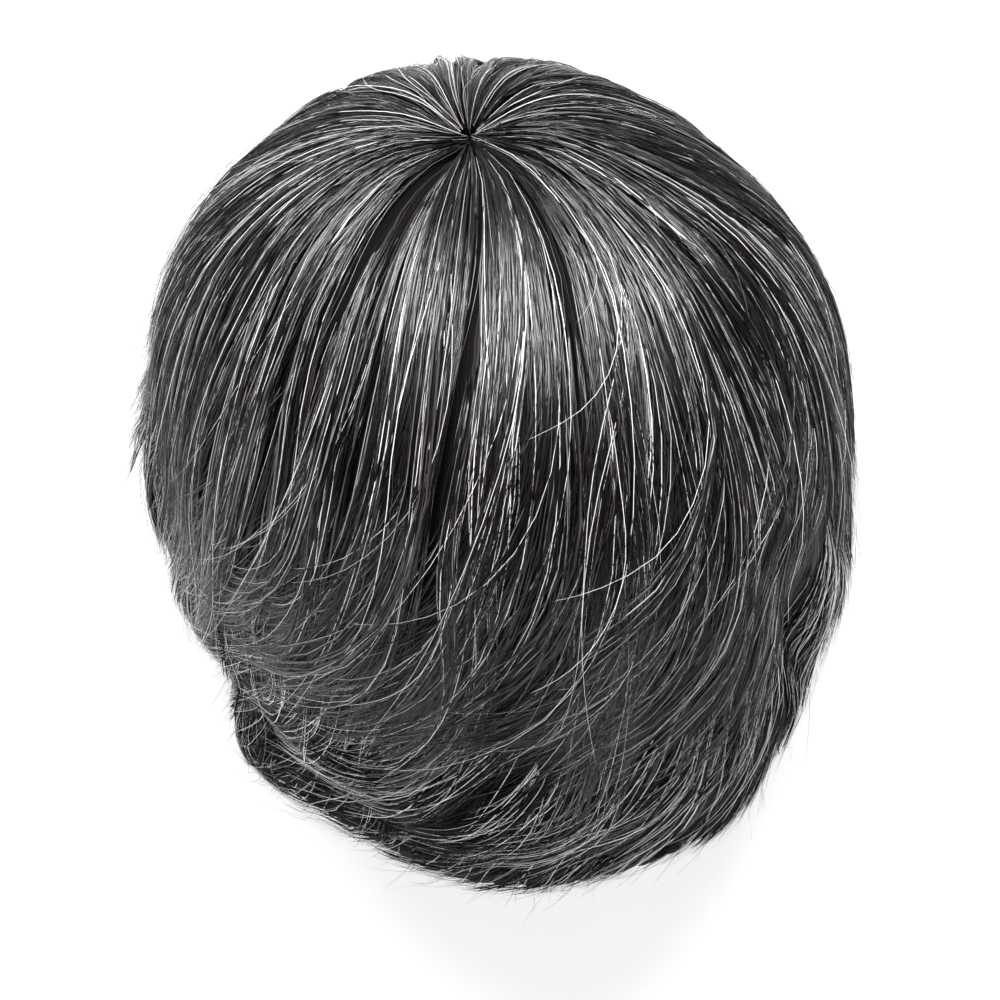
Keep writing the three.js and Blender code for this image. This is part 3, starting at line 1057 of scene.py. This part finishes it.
@dataclass(frozen=True)
class SaltAndPepperHair:
    """Human hair, dyed brown-black with grey and white hairs left in, washed and combed.

    Each hair is a smooth scaled fibre of keratin, so it shines in a narrow band across its length, and the
    white ones have no dye, so they glow beside the dark ones. Each hair is painted darker over the first
    quarter from its root. This is painted shade where the roots go in under the hair round them.
    """

    name: str = "salt_and_pepper_hair"
    black: str = "#050404"
    brown: str = "#171114"
    ash: str = "#302b2e"
    grey: str = "#8a868a"
    white: str = "#fbf9fa"
    root_painted_shade: str = "#a09b99"
    ior: float = 1.55
    roughness: float = 0.3
    specular: float = 0.5

    def stops(self) -> tuple[tuple[float, str], ...]:
        """Puts the colours in order.

        Returns:
            Each colour with the share of hairs that are darker.
        """
        return (
            (0.0, self.black), (0.5, self.brown), (DARK_SHARE, self.ash),
            (0.82, self.grey), (0.9, self.white),
        )

    def build(self) -> Material:
        """Makes the material, which reads tone and along from the hairs.

        Returns:
            The material.
        """
        material, tree = new_material(self.name)
        tone = add_node(tree, "ShaderNodeAttribute", attribute_name="tone")
        along = add_node(tree, "ShaderNodeAttribute", attribute_name="along")
        ramp = add_node(tree, "ShaderNodeValToRGB", {"Fac": tone.outputs["Fac"]})
        set_ramp(ramp, self.stops())
        # Painted shade: the colour darkens over the first quarter of each hair, towards its root
        roots = add_node(tree, "ShaderNodeValToRGB", {"Fac": along.outputs["Fac"]})
        set_ramp(roots, [(0.0, self.root_painted_shade), (0.25, "#ffffff")])
        shaded = add_node(tree, "ShaderNodeMix", {
            MIX_SHARE: 1.0, MIX_FIRST: ramp.outputs["Color"], MIX_SECOND: roots.outputs["Color"],
        }, data_type="RGBA", blend_type="MULTIPLY")
        shader = add_node(tree, "ShaderNodeBsdfPrincipled", {
            "Base Color": shaded.outputs[MIX_RESULT], "Roughness": self.roughness, "IOR": self.ior,
            "Specular IOR Level": self.specular,
        })
        add_node(tree, "ShaderNodeOutputMaterial", {"Surface": shader.outputs["BSDF"]})
        return material


@dataclass(frozen=True)
class DryHair(SaltAndPepperHair):
    """The same hair low down, where it is cut, older and drier, so that its dark hairs hardly shine."""

    name: str = "dry_hair"
    roughness: float = 0.5
    specular: float = 0.07


@dataclass(frozen=True)
class CombedWisp:
    """The same hair where many hairs lie side by side in a flat wisp, each still seen as a line.

    A real hair is about 0.07 mm thick. The lines are drawn 0.38 mm apart, so that they show. Lying side by
    side, the hairs shine along one line across the wisp, as brushed metal does. Each line is painted darker
    towards its edges, as painted shade in the gaps between the hairs, and the wisp is painted darker near
    its root, as shade.
    """

    name: str = "combed_wisp"
    stops: tuple[tuple[float, str], ...] = (
        (0.0, "#030202"), (0.5, "#100b0e"), (0.72, "#2a2427"), (0.9, "#5e595d"), (1.0, "#cac7c9"),
    )
    pitch_mm: float = 0.38
    waver_mm: float = 1.2
    waver_length_mm: float = 16.0
    waver_per_mm: float = 0.2
    gap: str = "#4a4a4a"
    ior: float = 1.55
    roughness: float = 0.32
    specular: float = 0.5
    grain: float = 0.8
    ridge: float = 0.5

    def build(self) -> Material:
        """Makes the material, which reads the map of places across and down the hairs, in millimetres.

        Returns:
            The material.
        """
        material, tree = new_material(self.name)
        place = add_node(tree, "ShaderNodeUVMap", uv_map=HAIR_MAP)
        split = add_node(tree, "ShaderNodeSeparateXYZ", {"Vector": place.outputs["UV"]})
        across, down = split.outputs["X"], split.outputs["Y"]
        travel = add_node(tree, "ShaderNodeMath", {0: down, 1: self.waver_length_mm}, operation="DIVIDE")
        weave = add_node(tree, "ShaderNodeMath", {
            0: across, 1: self.waver_per_mm, 2: travel.outputs["Value"],
        }, operation="MULTIPLY_ADD")
        waver = add_node(tree, "ShaderNodeTexNoise", {
            "W": weave.outputs["Value"], "Scale": 1.0,
        }, noise_dimensions="1D")
        swing = add_node(tree, "ShaderNodeMath", {
            0: waver.outputs["Fac"], 1: self.waver_mm / self.pitch_mm,
        }, operation="MULTIPLY")
        lane = add_node(tree, "ShaderNodeMath", {
            0: across, 1: 1 / self.pitch_mm, 2: swing.outputs["Value"],
        }, operation="MULTIPLY_ADD")
        number = add_node(tree, "ShaderNodeMath", {0: lane.outputs["Value"]}, operation="FLOOR")
        draw = add_node(tree, "ShaderNodeTexWhiteNoise", {
            "W": number.outputs["Value"],
        }, noise_dimensions="1D")
        ramp = add_node(tree, "ShaderNodeValToRGB", {"Fac": draw.outputs["Value"]})
        set_ramp(ramp, self.stops)
        # Painted shade: each line darkens towards its edges, for the shade in the gaps between hairs; the
        # same profile drives the bump
        within = add_node(tree, "ShaderNodeMath", {0: lane.outputs["Value"]}, operation="FRACT")
        round_off = add_node(tree, "ShaderNodeMath", {
            0: within.outputs["Value"], 1: 0.5,
        }, operation="PINGPONG").outputs["Value"]
        gap_shade_ramp = add_node(tree, "ShaderNodeValToRGB", {"Fac": round_off})
        set_ramp(gap_shade_ramp, [(0.0, self.gap), (0.3, "#ffffff")])
        # Painted shade: the colour darkens over the first quarter of each wisp, towards its root
        along = add_node(tree, "ShaderNodeAttribute", attribute_name="along").outputs["Fac"]
        roots = add_node(tree, "ShaderNodeValToRGB", {"Fac": along})
        set_ramp(roots, [(0.0, SaltAndPepperHair().root_painted_shade), (0.25, "#ffffff")])
        lined = add_node(tree, "ShaderNodeMix", {
            MIX_SHARE: 1.0, MIX_FIRST: ramp.outputs["Color"], MIX_SECOND: gap_shade_ramp.outputs["Color"],
        }, data_type="RGBA", blend_type="MULTIPLY")
        shaded = add_node(tree, "ShaderNodeMix", {
            MIX_SHARE: 1.0, MIX_FIRST: lined.outputs[MIX_RESULT], MIX_SECOND: roots.outputs["Color"],
        }, data_type="RGBA", blend_type="MULTIPLY")
        grain = add_node(tree, "ShaderNodeAttribute", attribute_name="grain")
        bump = add_node(tree, "ShaderNodeBump", {
            "Height": round_off, "Strength": self.ridge, "Distance": self.pitch_mm * MM,
        })
        shader = add_node(tree, "ShaderNodeBsdfPrincipled", {
            "Base Color": shaded.outputs[MIX_RESULT], "Roughness": self.roughness, "IOR": self.ior,
            "Anisotropic": self.grain, "Specular IOR Level": self.specular,
            "Tangent": grain.outputs["Vector"], "Normal": bump.outputs["Normal"],
        })
        add_node(tree, "ShaderNodeOutputMaterial", {"Surface": shader.outputs["BSDF"]})
        return material


@dataclass(frozen=True)
class ShadedLowWisp(CombedWisp):
    """The same hair in a flat wisp in the lower layers, with its lines painted darker as shade, and rougher,
    with little shine.
    """

    name: str = "shaded_low_wisp"
    # Painted shade: the lines are drawn darker than the top layer's
    stops: tuple[tuple[float, str], ...] = (
        (0.0, "#020101"), (0.6, "#0c080a"), (0.85, "#1e191c"), (0.96, "#4c474b"), (1.0, "#a8a5a7"),
    )
    roughness: float = 0.5
    specular: float = 0.07


@dataclass(frozen=True)
class ShadedUndercoat(CombedWisp):
    """The same hair deep between the locks, packed, with its lines painted nearly black as the shade there.
    """

    name: str = "undercoat_painted_shade"
    # Painted shade: the wisps' lines, drawn darker
    stops: tuple[tuple[float, str], ...] = (
        (0.0, "#020102"), (0.6, "#0e0a0c"), (0.82, "#201b1e"), (0.96, "#4a464a"), (1.0, "#8a868a"),
    )
    gap: str = "#2c2c2c"
    roughness: float = 0.7
    specular: float = 0.06
    grain: float = 0.3


@dataclass(frozen=True)
class KnottedMesh:
    """Skin-coloured polyester net over a thin film, as woven, with a dark knot where each hair is tied.

    The real net has a hole about every 0.4 mm. It is drawn at 1.2 mm, so that it shows.
    """

    name: str = "knotted_mesh"
    thread: str = "#c3a98c"
    film: str = "#8f7559"
    knot: str = "#2a2220"
    pitch_mm: float = 1.2
    knot_pitch_mm: float = 2.4
    relief_mm: float = 0.3
    ior: float = 1.55
    roughness: float = 0.75

    def build(self) -> Material:
        """Makes the material, worked out from places in the piece.

        Returns:
            The material.
        """
        material, tree = new_material(self.name)
        place = add_node(tree, "ShaderNodeTexCoord")
        cells = add_node(tree, "ShaderNodeTexVoronoi", {
            "Vector": place.outputs["Object"], "Scale": 1 / (self.pitch_mm * MM), "Randomness": 0.35,
        }, feature="DISTANCE_TO_EDGE")
        threads = add_node(tree, "ShaderNodeValToRGB", {"Fac": cells.outputs["Distance"]})
        set_ramp(threads, [(0.06, self.thread), (0.16, self.film)])
        dots = add_node(tree, "ShaderNodeTexVoronoi", {
            "Vector": place.outputs["Object"], "Scale": 1 / (self.knot_pitch_mm * MM), "Randomness": 0.6,
        })
        knots = add_node(tree, "ShaderNodeValToRGB", {"Fac": dots.outputs["Distance"]})
        set_ramp(knots, [(0.14, self.knot), (0.2, "#ffffff")])
        tied = add_node(tree, "ShaderNodeMix", {
            MIX_SHARE: 1.0, MIX_FIRST: threads.outputs["Color"], MIX_SECOND: knots.outputs["Color"],
        }, data_type="RGBA", blend_type="MULTIPLY")
        bump = add_node(tree, "ShaderNodeBump", {
            "Height": cells.outputs["Distance"], "Strength": 0.6, "Distance": self.relief_mm * MM,
        }, invert=True)
        shader = add_node(tree, "ShaderNodeBsdfPrincipled", {
            "Base Color": tied.outputs[MIX_RESULT], "Roughness": self.roughness, "IOR": self.ior,
            "Normal": bump.outputs["Normal"],
        })
        add_node(tree, "ShaderNodeOutputMaterial", {"Surface": shader.outputs["BSDF"]})
        return material


@dataclass(frozen=True)
class LitTable:
    """White opal acrylic, sand-blasted matt and lit from below, so that shadows on it stay pale."""

    name: str = "opal_acrylic"
    colour: str = "#a4a4a4"
    glow: float = 0.78
    roughness: float = 0.9
    ior: float = 1.49

    def build(self) -> Material:
        """Makes the material.

        Returns:
            The material.
        """
        material, tree = new_material(self.name)
        shader = add_node(tree, "ShaderNodeBsdfPrincipled", {
            "Base Color": linear(self.colour), "Roughness": self.roughness, "IOR": self.ior,
            "Emission Color": linear("#ffffff"), "Emission Strength": self.glow,
        })
        add_node(tree, "ShaderNodeOutputMaterial", {"Surface": shader.outputs["BSDF"]})
        return material


# The pieces


@dataclass
class Undercoat:
    """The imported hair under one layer's loose hairs: a closed curved sheet that takes the solid's place.

    It runs from start to end on the way from whorl to hem, inset millimetres under the layer's form, with
    ripples round it and a ragged lower edge, which thins out by thinning from thin_from of the way down.
    """

    layer: Layer
    start: float
    end: float
    inset: float = 2.6
    thickness: float = 2.4
    thinning: float = 0.7
    thin_from: float = 0.8
    ragged: tuple[float, float] = (-0.03, 0.02)
    ripple: float = 0.4
    ripples: int = 72
    columns: int = 216
    rows: int = 22
    column_mm: float = 3.1
    first_seed: int = 5

    def build(self, comb: Comb, finish: Material) -> Object:
        """Makes the sheet and gives it its finish.

        Args:
            comb: The comb that the hairs follow.
            finish: The undercoat's material.

        Returns:
            The piece.
        """
        rng = np.random.default_rng(self.first_seed + list(Layer).index(self.layer))
        azimuth = (np.arange(self.columns) * 360.0 / self.columns)[:, None]
        share = np.linspace(0, 1, self.rows)[None]
        fall = combed("fall", azimuth)
        ragged = rng.uniform(*self.ragged, (self.columns, 1))
        ends = np.minimum(self.end + 4 * fall * self.end * (1 - self.end) + ragged, 1.0)
        along = self.start + (ends - self.start) * share
        ripple = self.ripple * MM * np.sin(np.radians(azimuth) * self.ripples + 3 * share)
        thin = 1 - smooth((share - self.thin_from) / (1 - self.thin_from)) * self.thinning
        here = comb.dome.directions(azimuth + 0 * share, along)
        reach = comb.forms[self.layer](here) - self.inset * MM + ripple
        outer = comb.dome.centre + here * reach[..., None]
        inner = comb.dome.centre + here * (reach - self.thickness * MM * thin)[..., None]
        for shell in (outer, inner):
            shell[..., 2] = np.maximum(shell[..., 2], 0.0)
        return self.sheet(outer, inner, finish)

    def sheet(self, outer: np.ndarray, inner: np.ndarray, finish: Material) -> Object:
        """Closes two shells into one sheet.

        Args:
            outer: The outside's points, by column and row.
            inner: The inside's points.
            finish: The material.

        Returns:
            The piece, in place of the layer's solids.
        """
        columns, rows = self.columns, self.rows
        column = np.arange(columns)[:, None]
        after = (column + 1) % columns
        row = np.arange(rows - 1)[None]
        inside = columns * rows
        out = [column * rows + row, column * rows + row + 1, after * rows + row + 1, after * rows + row]
        into = [c + inside for c in reversed(out)]
        column, after = column[:, 0], after[:, 0]
        last = [column * rows + rows - 1, column * rows + rows - 1 + inside]
        last += [after * rows + rows - 1 + inside, after * rows + rows - 1]
        first = [column * rows, after * rows, after * rows + inside, column * rows + inside]
        quads = [np.stack(faces, axis=-1).reshape(-1, 4) for faces in (out, into, last, first)]
        points = np.concatenate([outer.reshape(-1, 3), inner.reshape(-1, 3)])
        piece = mesh_object(
            f"{self.layer.value}_undercoat", points, np.concatenate(quads), np.empty((0, 3), int)
        )
        self.dress(piece, outer)
        piece.data.materials.append(finish)
        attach(piece, "root")
        nodes = [f"{self.layer.value}_locks_{side}" for side in SIDES]
        if self.layer is Layer.TOP:
            nodes.append("whorl_rosette")
        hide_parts(*nodes)
        return piece

    def dress(self, piece: Object, outer: np.ndarray) -> None:
        """Stores the map of the hairs' lines and the ways across them.

        Args:
            piece: The sheet.
            outer: The outside's points, by column and row.
        """
        corners = corner_vertices(piece) % (self.columns * self.rows)
        column = corners // self.rows
        seam = np.repeat(np.add.reduceat(column == 0, np.arange(0, len(column), 4)) > 0, 4)
        seam &= np.repeat(np.maximum.reduceat(column, np.arange(0, len(column), 4)) == self.columns - 1, 4)
        column = np.where(seam & (column == 0), self.columns, column)
        down = np.cumsum(np.linalg.norm(np.diff(outer, axis=1, prepend=outer[:, :1]), axis=2).mean(axis=0))
        places = np.stack([column * self.column_mm, down[corners % self.rows] / MM], axis=-1)
        store_map(piece, HAIR_MAP, places)
        across = unit(np.roll(outer, -1, axis=0) - np.roll(outer, 1, axis=0)).reshape(-1, 3)
        point_vectors(piece, "grain", np.concatenate([across, across]))
        # along is 1 all over, so the sheet gets none of the painted shade at the roots
        point_values(piece, "along", np.ones(2 * self.columns * self.rows))


@dataclass
class HairLayer:
    """One layer of loose hair over the whole head: flat wisps and single hairs, a quarter a piece."""

    plan: Cut
    first_azimuth: float = 225

    def build(self, comb: Comb, wisp_finish: Material, hair_finish: Material) -> list[Object]:
        """Combs the layer and makes its pieces.

        Args:
            comb: The comb.
            wisp_finish: The wisps' material.
            hair_finish: The single hairs' material.

        Returns:
            The eight pieces.
        """
        wisps, hairs, wisp_azimuth, hair_azimuth = comb.cut(self.plan)
        pieces = []
        for number, side in enumerate(SIDES):
            low = self.first_azimuth + 90 * number
            for kind, strands, azimuth, finish in (
                ("wisps", wisps, wisp_azimuth, wisp_finish),
                ("hairs", hairs, hair_azimuth, hair_finish),
            ):
                part = strands.chosen(np.mod(azimuth - low, 360) < 90)
                piece = part.build(f"{self.plan.layer.value}_{kind}_{side}")
                piece.data.materials.append(finish)
                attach(piece, "root")
                pieces.append(piece)
        return pieces


@dataclass
class Base:
    """The knotted base that the hair is tied to, as a closed dome with its real wall."""

    wall: float = 1.2
    columns: int = 144
    rows: int = 28

    def build(self, dome: Dome, finish: Material) -> Object:
        """Makes the base in place of its solid.

        Args:
            dome: The directions' middle.
            finish: The mesh's material.

        Returns:
            The piece.
        """
        form = LayerForm(dome, ["base_cap"])
        turns = np.arange(self.columns) * 2 * math.pi / self.columns
        known = np.arange(form.columns + 1) * 2 * math.pi / form.columns
        edge = np.radians(np.interp(turns, known, np.append(form.edge, form.edge[0])))[:, None]
        share = np.linspace(0, 1, self.rows, endpoint=False)[None]
        elevation = edge + (math.pi / 2 - edge) * share
        flat = np.cos(elevation)
        here = np.stack([
            flat * np.cos(turns)[:, None], flat * np.sin(turns)[:, None], np.sin(elevation),
        ], axis=-1)
        reach = form(here)
        shells = [dome.centre + here * (reach - depth * MM)[..., None] for depth in (0.0, self.wall)]
        top = form(np.array([[0.0, 0.0, 1.0]]))[0]
        crowns = [dome.centre + np.array([0, 0, top - depth * MM]) for depth in (0.0, self.wall)]
        points = np.concatenate([shells[0].reshape(-1, 3), shells[1].reshape(-1, 3), crowns])
        piece = mesh_object("base_mesh", points, self.quads(), self.triangles())
        piece.data.materials.append(finish)
        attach(piece, "root")
        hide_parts("base_cap")
        return piece

    def quads(self) -> np.ndarray:
        """Joins the outside, the inside and the edge between them by faces.

        Returns:
            Four vertex numbers for each face.
        """
        column = np.arange(self.columns)[:, None]
        after = (column + 1) % self.columns
        row = np.arange(self.rows - 1)[None]
        inside = self.columns * self.rows
        out = [column * self.rows + row, after * self.rows + row]
        out += [after * self.rows + row + 1, column * self.rows + row + 1]
        into = [corner + inside for corner in reversed(out)]
        column, after = column[:, 0], after[:, 0]
        rim = [column * self.rows, column * self.rows + inside]
        rim += [after * self.rows + inside, after * self.rows]
        return np.concatenate([np.stack(faces, axis=-1).reshape(-1, 4) for faces in (out, into, rim)])

    def triangles(self) -> np.ndarray:
        """Closes the two crowns.

        Returns:
            Three vertex numbers for each face round them.
        """
        column = np.arange(self.columns)
        last = column * self.rows + self.rows - 1
        after = (column + 1) % self.columns * self.rows + self.rows - 1
        inside = self.columns * self.rows
        outer = np.stack([last, after, np.full_like(last, 2 * inside)], axis=-1)
        inner = np.stack([after + inside, last + inside, np.full_like(last, 2 * inside + 1)], axis=-1)
        return np.concatenate([outer, inner])


@dataclass(frozen=True)
class Softbox:
    """A soft lamp and where it hangs, in degrees from the wearer's left (90 is behind) and metres."""

    name: str
    azimuth: float
    elevation: float
    distance: float
    size: tuple[float, float]
    watts: float


class Studio:
    """A plain white floor, soft light and the camera."""

    softboxes = (
        Softbox("key_softbox", azimuth=96, elevation=58, distance=1.3, size=(1.5, 0.34), watts=43),
        Softbox("front_softbox", azimuth=-84, elevation=34, distance=1.4, size=(1.4, 0.7), watts=7),
    )
    floor_size = 40.0
    target_height = 40 * MM
    elevation = 62.0
    distance = 600 * MM
    focal_px = 2104.0
    image_px = 1000.0
    right_px = 2.8
    down_px = 17.2
    ceiling = "#484848"
    room_light = 0.9

    def build(self, dome: Dome) -> None:
        """Sets the stage round the toupee.

        Args:
            dome: The form that the lights and the camera point at.
        """
        self.floor()
        self.world()
        middle = Vector(dome.centre) + Vector((0, 0, self.target_height))
        for softbox in self.softboxes:
            self.hang(middle, softbox)
        self.camera(middle)

    def floor(self) -> None:
        """Lays the floor."""
        half = self.floor_size / 2
        corners = np.array([[-half, -half, 0], [half, -half, 0], [half, half, 0], [-half, half, 0]])
        floor = mesh_object("floor", corners, np.array([[0, 1, 2, 3]]), np.empty((0, 3), int))
        floor.data.materials.append(LitTable().build())

    def world(self) -> None:
        """Fills the room with light that is white low down, where the walls are, and dim above."""
        world = bpy.data.worlds.new("white_room")
        bpy.context.scene.world = world
        world.use_nodes = True
        tree = world.node_tree
        background = tree.nodes["Background"]
        place = add_node(tree, "ShaderNodeTexCoord")
        split = add_node(tree, "ShaderNodeSeparateXYZ", {"Vector": place.outputs["Generated"]})
        ramp = add_node(tree, "ShaderNodeValToRGB", {"Fac": split.outputs["Z"]})
        set_ramp(ramp, [(0.0, "#fafafa"), (0.2, "#fafafa"), (0.42, self.ceiling), (1.0, self.ceiling)])
        tree.links.new(ramp.outputs["Color"], background.inputs["Color"])
        background.inputs["Strength"].default_value = self.room_light

    def hang(self, middle: Vector, softbox: Softbox) -> None:
        """Hangs a softbox so that it points at the toupee.

        Args:
            middle: What it points at.
            softbox: The lamp.
        """
        lamp = bpy.data.lights.new(softbox.name, "AREA")
        lamp.shape = "RECTANGLE"
        lamp.size, lamp.size_y = softbox.size
        lamp.energy = softbox.watts
        holder = bpy.data.objects.new(softbox.name, lamp)
        bpy.context.scene.collection.objects.link(holder)
        flat = math.cos(math.radians(softbox.elevation))
        way = Vector((
            flat * math.cos(math.radians(softbox.azimuth)),
            flat * math.sin(math.radians(softbox.azimuth)),
            math.sin(math.radians(softbox.elevation)),
        ))
        holder.location = middle + way * softbox.distance
        holder.rotation_euler = way.to_track_quat("Z", "Y").to_euler()

    def camera(self, middle: Vector) -> None:
        """Sets the camera in front of the toupee and above it, at the photo's angle.

        Args:
            middle: What it points at.
        """
        camera = bpy.data.cameras.new("camera")
        camera.sensor_width = 36.0
        camera.lens = self.focal_px / self.image_px * camera.sensor_width
        camera.shift_x = -self.right_px / self.image_px
        camera.shift_y = self.down_px / self.image_px
        camera.clip_start = 0.01
        holder = bpy.data.objects.new("camera", camera)
        bpy.context.scene.collection.objects.link(holder)
        flat = math.cos(math.radians(self.elevation))
        way = Vector((0, -flat, math.sin(math.radians(self.elevation))))
        holder.location = middle + way * self.distance
        holder.rotation_euler = way.to_track_quat("Z", "Y").to_euler()
        bpy.context.scene.camera = holder


def main() -> None:
    """Builds the pieces in order, then the studio."""
    logging.basicConfig(level=logging.INFO, format="%(name)s: %(message)s")
    bpy.context.scene.view_settings.view_transform = "Standard"
    dome = Dome()
    nodes = {layer: [f"{layer.value}_locks_{side}" for side in SIDES] for layer in Layer}
    nodes[Layer.TOP].append("whorl_rosette")
    outermost = LayerForm(dome, sum(nodes.values(), []))
    forms = {}
    for layer, names in nodes.items():
        dents = HIGH_DENTS if layer is Layer.TOP else LOW_DENTS
        forms[layer] = LayerForm(dome, names, outermost, LOFTS[layer], dents)
    comb = Comb(dome, forms)

    hair = SaltAndPepperHair().build()
    combed_wisp = CombedWisp().build()
    shaded_low_wisp = ShadedLowWisp().build()
    dry_hair = DryHair().build()
    undercoat_shade = ShadedUndercoat().build()
    Base().build(dome, KnottedMesh().build())
    undercoats = (
        Undercoat(Layer.TOP, start=-0.03, end=0.57, column_mm=1.2),
        Undercoat(Layer.MID, start=0.3, end=0.81, column_mm=2.6),
        Undercoat(Layer.HEM, start=0.53, end=1.05),
    )
    for undercoat in undercoats:
        piece = undercoat.build(comb, undercoat_shade)
        log.info("%s: %d faces", piece.name, len(piece.data.polygons))
    for plan in (TOP_CUT, MID_CUT, HEM_CUT):
        # The lower layers take the wisps with painted shade
        finishes = (combed_wisp, hair) if plan is TOP_CUT else (shaded_low_wisp, dry_hair)
        for piece in HairLayer(plan).build(comb, *finishes):
            log.info("%s: %d faces", piece.name, len(piece.data.polygons))
    Studio().build(dome)


if __name__ == "__main__":
    main()
